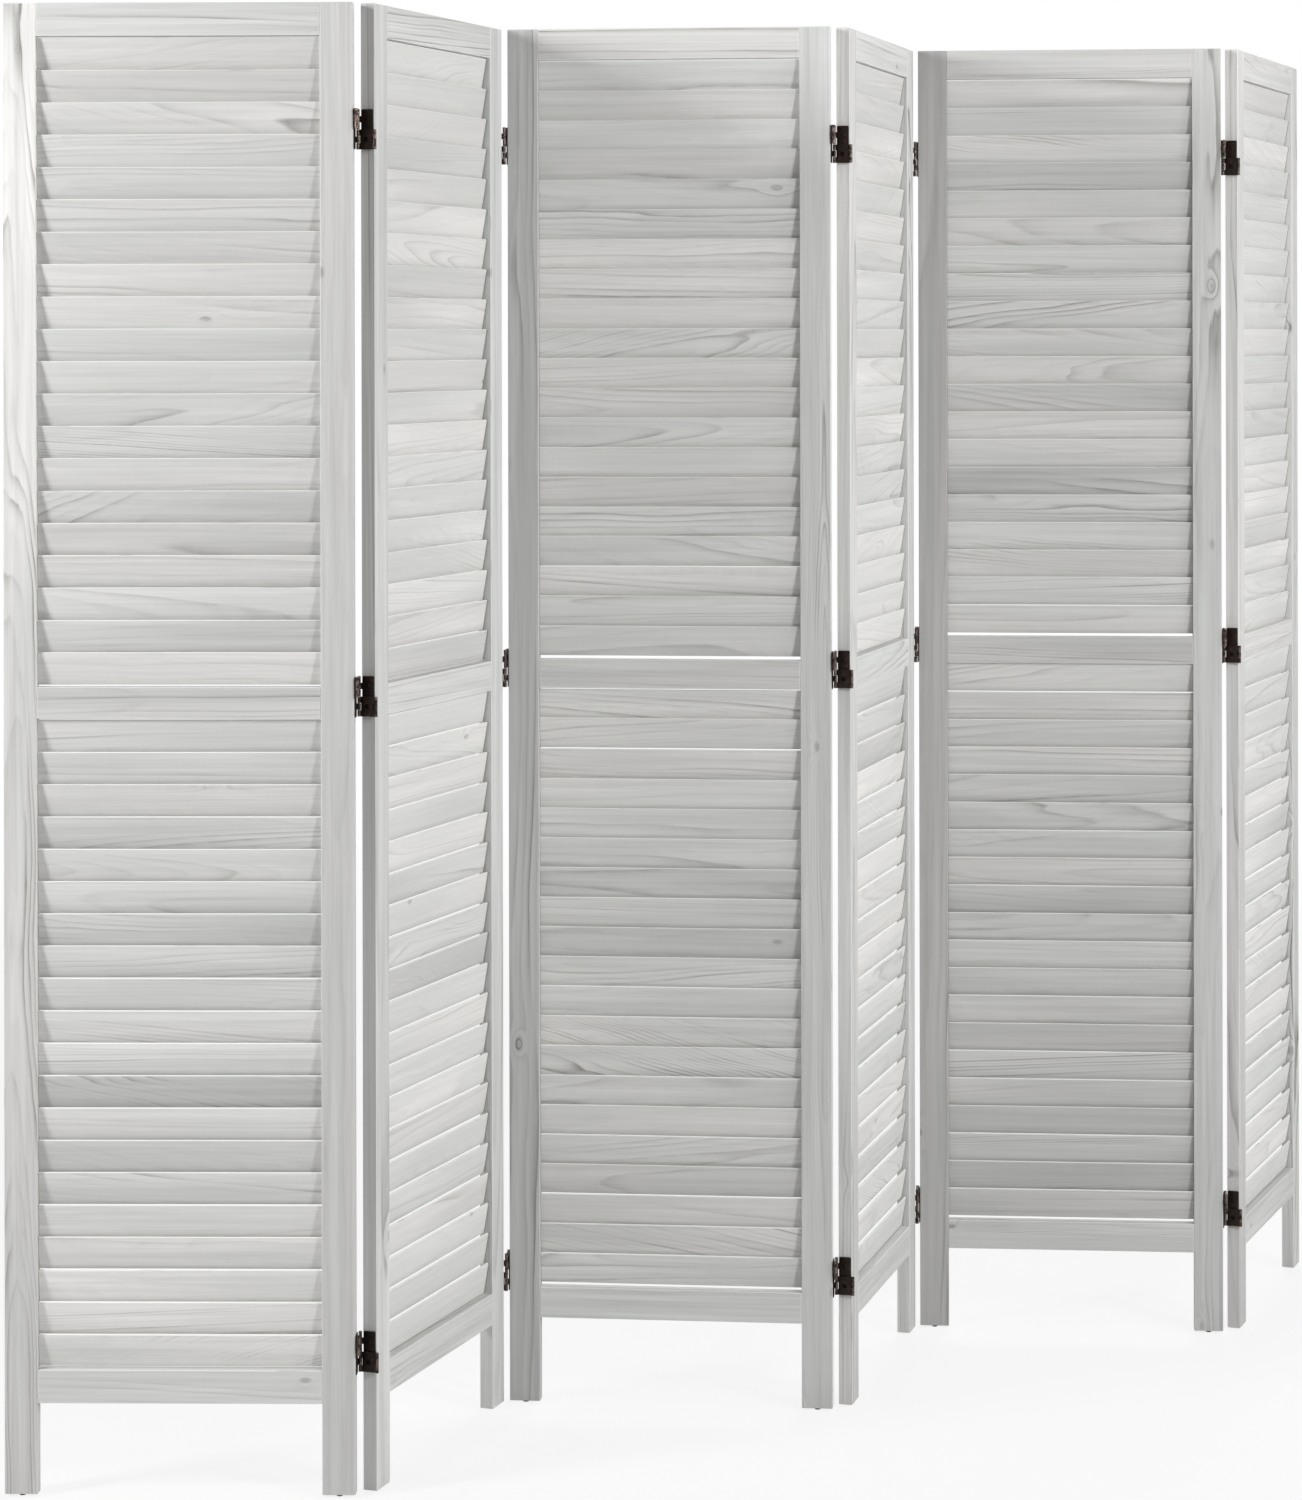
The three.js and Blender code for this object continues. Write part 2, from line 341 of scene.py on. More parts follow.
def plank(low, high, along, tones, material, edge_light_tone=0.0, ease=edge_ease):
    """The mesh of a board whose grain runs along x or z. Its attributes hold its own frame, and
    mark its rounded arrises for a painted highlight. Its tone, which holds painted light and shade
    as well as board tone, runs from the first to the second of two values, and its left edge face
    has one more on top, painted light or shade."""
    block = eased_box(low, high, ease, ease_steps)
    mesh = bpy.data.meshes.new("plank")
    block.to_mesh(mesh)
    block.free()
    middle, size = (low + high) / 2, high - low
    lengthwise = 0 if along == "x" else 2
    grain = mesh.attributes.new("grain", "FLOAT_VECTOR", "POINT")
    for vertex, item in zip(mesh.vertices, grain.data):
        x, y, z = vertex.co - middle
        item.vector = (x, z, y) if along == "x" else (z, x, y)
    tone = mesh.attributes.new("tone", "FLOAT", "CORNER")
    # Every rounded arris is marked. It is painted lighter, a painted highlight along the edges, and
    # is rubbed in places.
    arris = mesh.attributes.new("arris", "FLOAT", "FACE")
    for face in mesh.polygons:
        arris.data[face.index].value = float(max(map(abs, face.normal)) < 0.99)
        for corner_index in face.loop_indices:
            place = mesh.vertices[mesh.loops[corner_index].vertex_index].co
            share = (place - low)[lengthwise] / size[lengthwise]
            value = tones[0] * (1 - share) + tones[1] * share
            tone.data[corner_index].value = value + edge_light_tone * (face.normal.x < -0.5)
    board = mesh.attributes.new("board", "FLOAT", "POINT")
    board.data.foreach_set("value", [boards_drawn.random()] * len(mesh.vertices))
    mesh.materials.append(material)
    return mesh


stile_width = stile_top.x - corner.x
glide_height = 3 * mm
# The tones of each stile at its foot and at its top, and what its left edge face adds. Beside each
# board's own tone they hold painted light and shade. They paint the fall of the lamps from top to
# foot, the shade on the left stiles of panels 3 and 5 in the corner next to panels 2 and 4, and the
# light and shade on the edge faces.
stile_tones = {
    (1, "left"): (-0.16, 0.13, 0.0), (1, "right"): (-0.17, -0.1, 0.0),
    (2, "left"): (0.04, -0.1, -0.06), (2, "right"): (0.0, 0.0, -0.05),
    (3, "left"): (-0.23, -0.25, 0.0), (3, "right"): (0.0, 0.02, 0.0),
    (4, "left"): (-0.08, -0.01, 0.13), (4, "right"): (0.0, 0.0, -0.05),
    (5, "left"): (-0.32, -0.46, 0.0), (5, "right"): (-0.12, -0.1, 0.0),
    (6, "left"): (-0.15, 0.08, 0.02), (6, "right"): (0.0, 0.0, -0.05),
}

for number in panel_numbers:
    for side, left in (("left", 0), ("right", panel_width - stile_width)):
        low = Vector((left, 0, glide_height))
        high = Vector((left + stile_width, panel_thickness, stile_top.z))
        foot_tone, top_tone, edge_light_tone = stile_tones[number, side]
        mesh = plank(low, high, "z", (foot_tone, top_tone), frame_wood, edge_light_tone)
        node = f"panel_{number}_{side}_stile"
        stood(f"{node}_board", mesh, number, "frame", node)


# The rails: three boards of the same wood hold the stiles apart. Their tongues are glued into the
# stiles' grooves, and their faces are sanded flush with the stiles. The middle rail parts the two
# banks of slats.
rail_fit = 0.1 * mm
top_rail_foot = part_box("panel_1_top_rail")[0].z
bottom_rail_foot, bottom_rail_top = [corner.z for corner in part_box("panel_1_bottom_rail")]
middle_rail_height = 36 * mm
middle_rail_foot = (bottom_rail_top + top_rail_foot - middle_rail_height) / 2
middle_rail_top = middle_rail_foot + middle_rail_height
rail_levels = {
    "top_rail": (top_rail_foot, stile_top.z),
    "middle_rail": (middle_rail_foot, middle_rail_top),
    "bottom_rail": (bottom_rail_foot, bottom_rail_top),
}
# The tones of each panel's top, middle and bottom rail: board tone, with painted light and shade in
# it.
rail_tones = {1: (-0.05, -0.14, -0.02), 2: (-0.02, 0.05, 0.0), 3: (0.0, -0.04, 0.09),
              4: (0.05, 0.05, 0.02), 5: (-0.16, -0.23, -0.07), 6: (0.08, 0.05, 0.02)}

for number in panel_numbers:
    for (rail, (foot, top)), tone in zip(rail_levels.items(), rail_tones[number]):
        low = Vector((stile_width + rail_fit, 0, foot))
        high = Vector((panel_width - stile_width - rail_fit, panel_thickness, top))
        mesh = plank(low, high, "x", (tone, tone), frame_wood)
        node = f"panel_{number}_{'louvre' if rail == 'middle_rail' else rail}"
        stood(f"panel_{number}_{rail}_board", mesh, number, "frame", node)


# The slats: forty thin strips in each panel, planed round at their long edges. Each one leans
# forward at its top, over the foot of the slat above it, and its ends sit in slots that are cut
# into the stiles. No two sit quite alike.
slats_per_bank = 20
edge_steps = 3
length_steps = 9
slot_depth = 1.5 * mm
slat_sizes = {
    "Slats in a Bank": slats_per_bank,
    "Length": panel_width - 2 * stile_width + 2 * slot_depth,
    "Thickness": 2.4 * mm,
    "Edge Radius": 0.5 * mm,
    "Tilt": math.radians(9.7),
    "Lowest Bank Foot": bottom_rail_top,
    "Bank Height": middle_rail_foot - bottom_rail_top,
    "Bank Spacing": middle_rail_top - bottom_rail_top,
    "Middle": Vector((panel_width / 2, panel_thickness / 2, 0)),
    "Gap under Rail": 1.2 * mm,
    "Uneven Height": 0.12 * mm,
    "Uneven Tilt": math.radians(0.25),
    "Uneven Lie": math.radians(0.03),
    "Bow": 0.2 * mm,
}
# The width of each panel's slats, and the gap between each bank's lowest slat and its rail.
slat_widths = {1: 37.5 * mm, 2: 37.3 * mm, 3: 37.6 * mm, 4: 38 * mm, 5: 37.7 * mm, 6: 38 * mm}
gaps_over_rail = {1: 2.0 * mm, 2: 1.6 * mm, 3: 4.0 * mm, 4: 1.6 * mm, 5: 4.0 * mm, 6: 1.6 * mm}
# How far along a slat's end the colour runs to bare grey, where it goes into its slot: painted
# shade of the slot.
slot_shade_ends = {1: 2.6 * mm, 2: 7 * mm, 3: 2.6 * mm, 4: 7 * mm, 5: 2.6 * mm, 6: 7 * mm}
# How faint the grain of a panel's slats is.
plainness = {1: 0.0, 2: 0.5, 3: 0.0, 4: 0.4, 5: 0.0, 6: 0.4}
# The tone of each panel's lowest slat, and of its highest one. This is board tone, with painted
# light and shade that lightens or darkens a panel's slats and changes with height.
slat_tones = {1: (0.14, -0.04), 2: (0.16, 0.03), 3: (0.08, 0.11), 4: (0.22, 0.05), 5: (-0.1, -0.08),
              6: (0.22, 0.1)}
# What chance adds to a slat's tone, and what the darkest draw takes off it.
chance_tones = (-0.05, 0.03)
darkest_draw = 0.12
# The darkest slats of the photo, counted from the lowest, and what their tone loses.
darkest_slats = {
    1: {6: 0.14, 8: 0.2, 13: 0.1, 24: 0.14, 38: 0.1},
    2: {11: 0.1, 29: 0.08},
    3: {3: 0.08, 11: 0.1, 25: 0.14, 28: 0.12, 36: 0.14},
    4: {7: 0.06, 17: 0.08},
    5: {3: 0.08, 11: 0.1, 25: 0.14, 28: 0.12, 36: 0.14},
    6: {5: 0.06, 23: 0.08},
}
# The slats that sit high, and how far. They leave a slit of light over the slat below.
raised_slats = {
    1: {3: 0.4 * mm, 5: 0.4 * mm, 11: 0.3 * mm, 12: 0.7 * mm},
    3: {3: 0.8 * mm, 18: 1.3 * mm, 23: 0.8 * mm},
    5: {19: 1.2 * mm, 21: 0.8 * mm},
}
# The random draw of each panel's slats: their boards, tones and small unevenness.
slat_seeds = {1: 1, 2: 2, 3: 3, 4: 4, 5: 8, 6: 6}
socket_kinds = {int: "NodeSocketInt", float: "NodeSocketFloat", Vector: "NodeSocketVector"}


def geometry_tree(name, sizes):
    """A new tree of Geometry Nodes with an input for each named size, and those inputs."""
    tree = bpy.data.node_groups.new(name, "GeometryNodeTree")
    tree.interface.new_socket("Geometry", in_out="OUTPUT", socket_type="NodeSocketGeometry")
    for label, value in sizes.items():
        kind = socket_kinds[type(value)]
        tree.interface.new_socket(label, in_out="INPUT", socket_type=kind)
    graph = Graph(tree)
    given = tree.nodes.new("NodeGroupInput")
    return graph, {label: Flow(graph, given.outputs[label]) for label in sizes}


def grown(graph, sizes):
    """The plain mesh that a tree of Geometry Nodes makes with these sizes."""
    holder = bpy.data.objects.new("holder", bpy.data.meshes.new("holder"))
    bpy.context.scene.collection.objects.link(holder)
    modifier = holder.modifiers.new("nodes", "NODES")
    modifier.node_group = graph.tree
    for item in graph.tree.interface.items_tree:
        if item.in_out == "INPUT":
            modifier[item.identifier] = sizes[item.name]
    evaluated = holder.evaluated_get(bpy.context.evaluated_depsgraph_get())
    mesh = bpy.data.meshes.new_from_object(evaluated)
    bpy.data.objects.remove(holder)
    return mesh


def stored(graph, geometry, name, value, kind="FLOAT", domain="POINT"):
    return graph.node("GeometryNodeStoreNamedAttribute", {"data_type": kind, "domain": domain},
                      {"Geometry": geometry, "Name": name, "Value": value})


def slat_tree():
    own_sizes = {"Width": 0.0, "Slot Shade End": 0.0, "Plainness": 0.0, "Gap over Rail": 0.0,
                 "Lowest Tone": 0.0, "Highest Tone": 0.0, "Seed": 0}
    graph, size = geometry_tree("slats", {**slat_sizes, **own_sizes})

    def chance(seed, low, high):
        """A number for each slat, between low and high."""
        return graph.node("FunctionNodeRandomValue", {"data_type": "FLOAT"},
                          {2: low, 3: high, "Seed": size["Seed"] * 10 + seed}, output=1)

    def give_or_take(seed, amount):
        return chance(seed, amount * -1.0, amount)

    # One slat: its rounded section, drawn out along x.
    section = graph.node("GeometryNodeCurvePrimitiveQuadrilateral", {},
                         {"Width": size["Thickness"], "Height": size["Width"]})
    section = graph.node("GeometryNodeFilletCurve", {"mode": "POLY"},
                         {"Curve": section, "Count": edge_steps, "Radius": size["Edge Radius"]})
    line = graph.node("GeometryNodeCurvePrimitiveLine", {}, {
        "Start": graph.vector(size["Length"] * -0.5, 0.0, 0.0),
        "End": graph.vector(size["Length"] * 0.5, 0.0, 0.0),
    })
    line = graph.node("GeometryNodeResampleCurve", {}, {"Curve": line, "Count": length_steps})
    slat = graph.node("GeometryNodeCurveToMesh", {},
                      {"Curve": line, "Profile Curve": section, "Fill Caps": True})
    along, deep, across = graph.parts(graph.node("GeometryNodeInputPosition"))
    flat_half = size["Width"] * 0.5 - size["Edge Radius"]
    upper = across.math("GREATER_THAN", across, flat_half)
    lower = across.math("LESS_THAN", across, flat_half * -1.0)
    from_end = size["Length"] * 0.5 - along.math("ABSOLUTE", along)
    slat = stored(graph, slat, "grain", graph.vector(along, across, deep), "FLOAT_VECTOR")
    # The upper arris is marked 1 and the lower one -1, for the painted highlight and the painted
    # shade on them.
    slat = stored(graph, slat, "arris", upper - lower, domain="FACE")
    # at_end reaches 1 toward each end, for the painted shade where the slat goes into its slot.
    slat = stored(graph, slat, "at_end", 1 - from_end / size["Slot Shade End"])

    # The places of all the slats, counted from the lowest.
    index = graph.node("GeometryNodeInputIndex")
    count = size["Slats in a Bank"]
    bank = index.math("FLOOR", (index + 0.5) / count)
    step_in_bank = index - bank * count
    rise = (size["Width"] * size["Tilt"].math("COSINE", size["Tilt"])
            + size["Thickness"] * size["Tilt"].math("SINE", size["Tilt"]))
    room = size["Bank Height"] - size["Gap over Rail"] - size["Gap under Rail"] - rise
    level = (size["Lowest Bank Foot"] + bank * size["Bank Spacing"] + size["Gap over Rail"]
             + rise * 0.5 + step_in_bank * room / (count - 1)
             + give_or_take(1, size["Uneven Height"]))
    points = graph.node("GeometryNodeMeshLine", {"mode": "OFFSET"}, {"Count": count * 2})
    points = graph.node("GeometryNodeSetPosition", {}, {
        "Geometry": points,
        "Position": graph.vectors("ADD", size["Middle"], graph.vector(0.0, 0.0, level)),
    })
    turn = graph.vector(size["Tilt"] + give_or_take(2, size["Uneven Tilt"]),
                        give_or_take(3, size["Uneven Lie"]), 0.0)
    slats = graph.node("GeometryNodeInstanceOnPoints", {},
                       {"Points": points, "Instance": slat,
                        "Rotation": graph.node("FunctionNodeEulerToRotation", {}, {0: turn})})

    # Each slat's tone runs from the lowest slat to the highest, with painted light and shade in it,
    # and chance adds its own.
    height_share = index / (count * 2 - 1)
    tone = (size["Lowest Tone"] * (1 - height_share) + size["Highest Tone"] * height_share
            + chance(7, *chance_tones) - chance(5, 0.0, 1.0) ** 8.0 * darkest_draw)
    own_values = {"slat": index, "board": chance(4, 0.0, 1.0), "tone": tone,
                  "plainness": size["Plainness"], "bow": give_or_take(6, size["Bow"])}
    for name, value in own_values.items():
        slats = stored(graph, slats, name, value, domain="INSTANCE")
    slats = graph.node("GeometryNodeRealizeInstances", {}, {"Geometry": slats})

    # Each slat is bowed up or down a little between its ends.
    grain = graph.node("GeometryNodeInputNamedAttribute", {"data_type": "FLOAT_VECTOR"},
                       {"Name": "grain"})
    bow = graph.node("GeometryNodeInputNamedAttribute", {"data_type": "FLOAT"}, {"Name": "bow"})
    share = graph.parts(grain)[0] / (size["Length"] * 0.5)
    slats = graph.node("GeometryNodeSetPosition", {}, {
        "Geometry": slats,
        "Offset": graph.vector(0.0, 0.0, bow * (1 - share * share)),
    })
    slats = graph.node("GeometryNodeSetMaterial", {}, {"Geometry": slats, "Material": slat_wood})
    graph.node("NodeGroupOutput", {}, {"Geometry": slats})
    return graph


slat_graph = slat_tree()
for number in panel_numbers:
    lowest_tone, highest_tone = slat_tones[number]
    own_sizes = {"Width": slat_widths[number], "Slot Shade End": slot_shade_ends[number],
                 "Plainness": plainness[number], "Gap over Rail": gaps_over_rail[number],
                 "Lowest Tone": lowest_tone, "Highest Tone": highest_tone,
                 "Seed": slat_seeds[number]}
    mesh = grown(slat_graph, {**slat_sizes, **own_sizes})
    slats = [round(item.value) for item in mesh.attributes["slat"].data]
    for slat, tone, vertex in zip(slats, mesh.attributes["tone"].data, mesh.vertices):
        tone.value -= darkest_slats[number].get(slat, 0.0)
        vertex.co.z += raised_slats.get(number, {}).get(slat, 0.0)
    stood(f"panel_{number}_slats", mesh, number, "slats", f"panel_{number}_louvre")


# The glides: a dark plastic button with a nail moulded in, hammered into the foot of each stile so
# that the wood stands clear of the floor. The two under a panel are one piece here.
glide_sizes = {
    "Radius": 4 * mm,
    "Height": glide_height,
    "Spacing": panel_width - stile_width,
    "Middle": Vector((panel_width / 2, panel_thickness / 2, glide_height)),
}
scuff_depth = 0.1 * mm


def moulded_plastic():
    material, graph = new_material("dark moulded plastic")
    place = graph.node("ShaderNodeTexCoord", output="Object")
    cloud = graph.node("ShaderNodeTexNoise", {}, {"Vector": place, "Scale": 260.0, "Detail": 3.0})
    scuff = graph.node("ShaderNodeTexNoise", {}, {"Vector": place, "Scale": 1400.0, "Detail": 2.0})
    scuffed = graph.between(cloud * 0.6 + scuff * 0.4, 0.46, 0.62)
    bump = graph.node("ShaderNodeBump", {},
                      {"Strength": 0.4, "Distance": scuff_depth, "Height": scuff})
    surface = graph.node("ShaderNodeBsdfPrincipled", {}, {
        "Base Color": graph.mixed(scuffed, srgb(62, 60, 58), srgb(98, 95, 91)),
        "Roughness": 0.38 + scuff * 0.25,
        "Normal": bump,
    })
    graph.node("ShaderNodeOutputMaterial", {}, {"Surface": surface})
    return material


def glide_tree():
    """A button with steep sides and a nearly flat foot, at both ends of the panel's foot."""
    graph, size = geometry_tree("glides", glide_sizes)
    ball = graph.node("GeometryNodeMeshUVSphere", {}, {"Segments": 28, "Rings": 18, "Radius": 1.0})
    x, y, z = graph.parts(graph.node("GeometryNodeInputPosition"))
    steep = (x * x + y * y + 0.0001) ** 0.25
    down = z.math("MAXIMUM", z * -1.0, 0.0) ** 0.5
    dome = graph.vector(x / steep * size["Radius"], y / steep * size["Radius"],
                        down * size["Height"] * -1.0)
    button = graph.node("GeometryNodeSetPosition", {}, {"Geometry": ball, "Position": dome})
    half = graph.vector(size["Spacing"] * 0.5, 0.0, 0.0)
    places = graph.node("GeometryNodeMeshLine", {"mode": "END_POINTS"}, {
        "Count": 2,
        "Start Location": graph.vectors("SUBTRACT", size["Middle"], half),
        "Offset": graph.vectors("ADD", size["Middle"], half),
    })
    glides = graph.node("GeometryNodeInstanceOnPoints", {}, {"Points": places, "Instance": button})
    glides = graph.node("GeometryNodeRealizeInstances", {}, {"Geometry": glides})
    glides = graph.node("GeometryNodeSetShadeSmooth", {}, {"Geometry": glides})
    glides = graph.node("GeometryNodeSetMaterial", {},
                        {"Geometry": glides, "Material": moulded_plastic()})
    graph.node("NodeGroupOutput", {}, {"Geometry": glides})
    return graph


glide_mesh = grown(glide_tree(), glide_sizes)
for number in panel_numbers:
    stood(f"panel_{number}_glides", glide_mesh.copy(), number, "glide")
bpy.data.meshes.remove(glide_mesh)


# The hinges: three two-way hinges join each pair of panels. A leaf of dark bronzed steel is screwed
# to the edge of each panel, and two links cross the gap between the leaves. Each knuckle is the end
# of a plate that is rolled round its pin. Its finish is rubbed down to the steel, in a lighter
# colour that also paints the highlight on the barrels.
hinge_low, hinge_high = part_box("hinge_1_2_top_left_side")
half_hinge = (hinge_high.z - hinge_low.z) / 2
pin_from_mid = abs(pin_in_panel.y - panel_thickness / 2)
plate = 1.2 * mm
leaf_half_width = 7.2 * mm
leaf_to_wood = 0.3 * mm
barrel_radius = 2.0 * mm
pin_radius = 0.9 * mm
bore_radius = 0.95 * mm
roll_slit = 0.2 * mm
knuckle_gap = 0.4 * mm
leaf_corner = 1.6 * mm
link_corner = 0.8 * mm
plate_ease = 0.2 * mm
arm_bend = 1.5 * mm
pin_end = 0.1 * mm
rounding_room = 0.01 * mm
speck_depth = 0.06 * mm
pin_ease = 0.3 * mm
seat_depth = 1.0 * mm
seat_radius = 2.5 * mm
round_sides = 28
barrel_to_plate = 0.6 * mm
link_foot = knuckle_gap / 2
knuckle_length = (half_hinge - link_foot - 2 * knuckle_gap) / 3
middle_foot = link_foot + knuckle_length + knuckle_gap
middle_top = middle_foot + knuckle_length
screw_level = (link_foot + half_hinge) / 2
driver_hole_radius = 2.9 * mm
leaf_outer = leaf_to_wood - half_gap
leaf_inner = leaf_outer + plate


def dark_bronze():
    material, graph = new_material("dark bronzed steel")
    place = graph.node("ShaderNodeTexCoord", output="Object")
    cloud = graph.node("ShaderNodeTexNoise", {}, {"Vector": place, "Scale": 190.0, "Detail": 4.0})
    speck = graph.node("ShaderNodeTexNoise", {}, {"Vector": place, "Scale": 1500.0, "Detail": 2.0})
    rubbed = graph.between(cloud * 0.75 + speck * 0.25, 0.5, 0.66)
    # On the knuckles, patches of lighter bare steel: rubbed wear, and a painted highlight on the
    # barrels.
    knuckle = graph.attribute("knuckle", "Fac")
    bare_steel_and_highlight = knuckle * graph.between(cloud * 0.7 + speck * 0.3, 0.42, 0.58)
    bronzed = graph.mixed(rubbed, srgb(29, 22, 18), srgb(66, 44, 36))
    bump = graph.node("ShaderNodeBump", {},
                      {"Strength": 0.35, "Distance": speck_depth, "Height": speck + cloud * 0.5})
    surface = graph.node("ShaderNodeBsdfPrincipled", {}, {
        "Base Color": graph.mixed(bare_steel_and_highlight, bronzed, srgb(112, 97, 91)),
        "Metallic": 0.35 + rubbed * 0.4 + bare_steel_and_highlight * 0.4,
        "Roughness": 0.34 + speck * 0.22 - rubbed * 0.08,
        "Normal": bump,
        "Specular IOR Level": 0.25,
    })
    graph.node("ShaderNodeOutputMaterial", {}, {"Surface": surface})
    return material


def arc(centre, radius, start, end, steps):
    """Points of an arc, its angles in degrees."""
    angles = [math.radians(start + (end - start) * i / steps) for i in range(steps + 1)]
    return [(centre[0] + radius * math.cos(a), centre[1] + radius * math.sin(a)) for a in angles]


def rolled_end():
    """The outline of a plate that comes up the y axis and is rolled round the origin, leaving a
    slit between its end and its own face. It runs from the plate's left face to its right one."""
    outer_start = math.degrees(math.asin(plate / 2 / barrel_radius))
    outer_end = math.degrees(math.asin((plate / 2 + roll_slit) / barrel_radius))
    inner_end = math.degrees(math.asin((plate / 2 + roll_slit) / bore_radius))
    inner_start = math.degrees(math.asin(plate / 2 / bore_radius))
    outside = arc((0, 0), barrel_radius, -90 - outer_start, -450 + outer_end, 28)
    inside = arc((0, 0), bore_radius, -450 + inner_end, -90 + inner_start, 16)
    return outside + inside


def link_outline(side):
    """A link's arm, from the middle of the hinge to the pin at its front or rear."""
    rolled = [(x, y + pin_from_mid) for x, y in rolled_end()]
    outline = [(-plate / 2, 0), *rolled, (plate / 2, 0)]
    return [(x, side * y) for x, y in outline]


def leaf_arm_outline(side):
    """A leaf's arm, bent round the panel's face to the pin at its front or rear."""
    start = leaf_half_width - arm_bend
    corner = (leaf_outer + arm_bend, pin_from_mid + plate / 2 - arm_bend)
    rolled = [(y, -x + pin_from_mid) for x, y in rolled_end()]
    outline = [(leaf_outer, start), *arc(corner, arm_bend, 180, 90, 6), *rolled,
               *arc(corner, arm_bend - plate, 90, 180, 4), (leaf_inner, start)]
    return [(x, side * y) for x, y in outline]


def drawn_up(outline, foot, top):
    """A solid with this outline between two heights."""
    solid = bmesh.new()
    rim = [solid.verts.new((x, y, foot)) for x, y in outline]
    solid.faces.new(rim)
    wall = bmesh.ops.extrude_face_region(solid, geom=solid.faces[:])
    lifted = [item for item in wall["geom"] if isinstance(item, bmesh.types.BMVert)]
    bmesh.ops.translate(solid, verts=lifted, vec=(0, 0, top - foot))
    bmesh.ops.recalc_face_normals(solid, faces=solid.faces)
    return solid


def round_bar(radius, place, foot, top, ease):
    """A round bar that stands up, with eased ends."""
    sides = 24
    bar = drawn_up(arc(place, radius, 0, 360 - 360 / sides, sides - 1), foot, top)
    rims = [edge for edge in bar.edges if edge.verts[0].co.z == edge.verts[1].co.z]
    bmesh.ops.bevel(bar, geom=rims, offset=ease, segments=3, profile=0.5, affect="EDGES")
    return bar


def cornered_plate(low, high, corner_radius, ease):
    """A plate that stands across x, with round corners and eased edges."""
    flat = bmesh.new()
    bmesh.ops.create_cube(flat, size=1.0)
    place = Matrix.Translation((low + high) / 2) @ Matrix.Diagonal((*(high - low), 1))
    bmesh.ops.transform(flat, matrix=place, verts=flat.verts)

    def runs_across(edge):
        return abs(edge.verts[0].co.x - edge.verts[1].co.x) > ease

    sides = [edge for edge in flat.edges if runs_across(edge)]
    bmesh.ops.bevel(flat, geom=sides, offset=corner_radius, segments=5, profile=0.5, affect="EDGES")
    rims = [edge for edge in flat.edges if not runs_across(edge)]
    bmesh.ops.bevel(flat, geom=rims, offset=ease, segments=2, profile=0.5, affect="EDGES")
    return flat


def joined_and_cut(joined, cut):
    """One closed mesh of the first solids, less the second ones."""
    scene_objects = bpy.context.scene.collection.objects
    holders = []
    for solid in joined + cut:
        mesh = bpy.data.meshes.new("solid")
        solid.to_mesh(mesh)
        solid.free()
        holders.append(bpy.data.objects.new("solid", mesh))
        scene_objects.link(holders[-1])
    whole, *tools = holders
    for count, tool in enumerate(tools, 1):
        step = whole.modifiers.new("step", "BOOLEAN")
        step.operation = "UNION" if count < len(joined) else "DIFFERENCE"
        step.solver = "MANIFOLD"
        step.object = tool
    evaluated = whole.evaluated_get(bpy.context.evaluated_depsgraph_get())
    mesh = bpy.data.meshes.new_from_object(evaluated)
    for holder in holders:
        bpy.data.objects.remove(holder)
    return mesh


def screw_seat(level):
    """The cone that a screw's head sits in."""
    seat = bmesh.new()
    place = Matrix.Translation((leaf_inner, 0, level)) @ Matrix.Rotation(math.pi / 2, 4, "Y")
    bmesh.ops.create_cone(seat, cap_ends=True, segments=round_sides,
                          radius1=seat_radius - 2 * seat_depth,
                          radius2=seat_radius + 2 * seat_depth, depth=4 * seat_depth, matrix=place)
    return seat


def hinge_side_mesh():
    """The leaf on the left panel's edge and the upper link, of a hinge that turns on its rear
    pins."""
    leaf = cornered_plate(Vector((leaf_outer, -leaf_half_width, -half_hinge)),
                          Vector((leaf_inner, leaf_half_width, half_hinge)),
                          leaf_corner, plate_ease)
    link_half_width = pin_from_mid - barrel_radius - barrel_to_plate
    link = cornered_plate(Vector((-plate / 2, -link_half_width, link_foot)),
                          Vector((plate / 2, link_half_width, half_hinge)),
                          link_corner, plate_ease)
    link_spans = [(link_foot, link_foot + knuckle_length), (middle_top + knuckle_gap, half_hinge)]
    arms = [drawn_up(link_outline(side), *span) for side in (-1, 1) for span in link_spans]
    arms.append(drawn_up(leaf_arm_outline(-1), middle_foot, middle_top))
    arms.append(drawn_up(leaf_arm_outline(1), -middle_top, -middle_foot))
    pins = [round_bar(pin_radius, (0, side * pin_from_mid), link_foot + pin_end,
                      half_hinge - pin_end, pin_ease) for side in (-1, 1)]
    seats = [screw_seat(level) for level in (-screw_level, screw_level)]
    hole = bmesh.new()
    place = Matrix.Translation((0, 0, screw_level)) @ Matrix.Rotation(math.pi / 2, 4, "Y")
    bmesh.ops.create_cone(hole, cap_ends=True, segments=round_sides, radius1=driver_hole_radius,
                          radius2=driver_hole_radius, depth=plate * 2, matrix=place)
    mesh = joined_and_cut([leaf, link, *arms, *pins], [*seats, hole])
    mesh.shade_smooth()
    mesh.set_sharp_from_angle(angle=math.radians(28))
    # The knuckles are marked for their lighter bare steel, which is rubbed wear and a painted
    # highlight.
    knuckle = mesh.attributes.new("knuckle", "FLOAT", "POINT")
    for vertex, item in zip(mesh.vertices, knuckle.data):
        from_pin = math.hypot(vertex.co.x, abs(vertex.co.y) - pin_from_mid)
        item.value = float(from_pin < barrel_radius + rounding_room)
    mesh.materials.clear()
    mesh.materials.append(bronze)
    return mesh


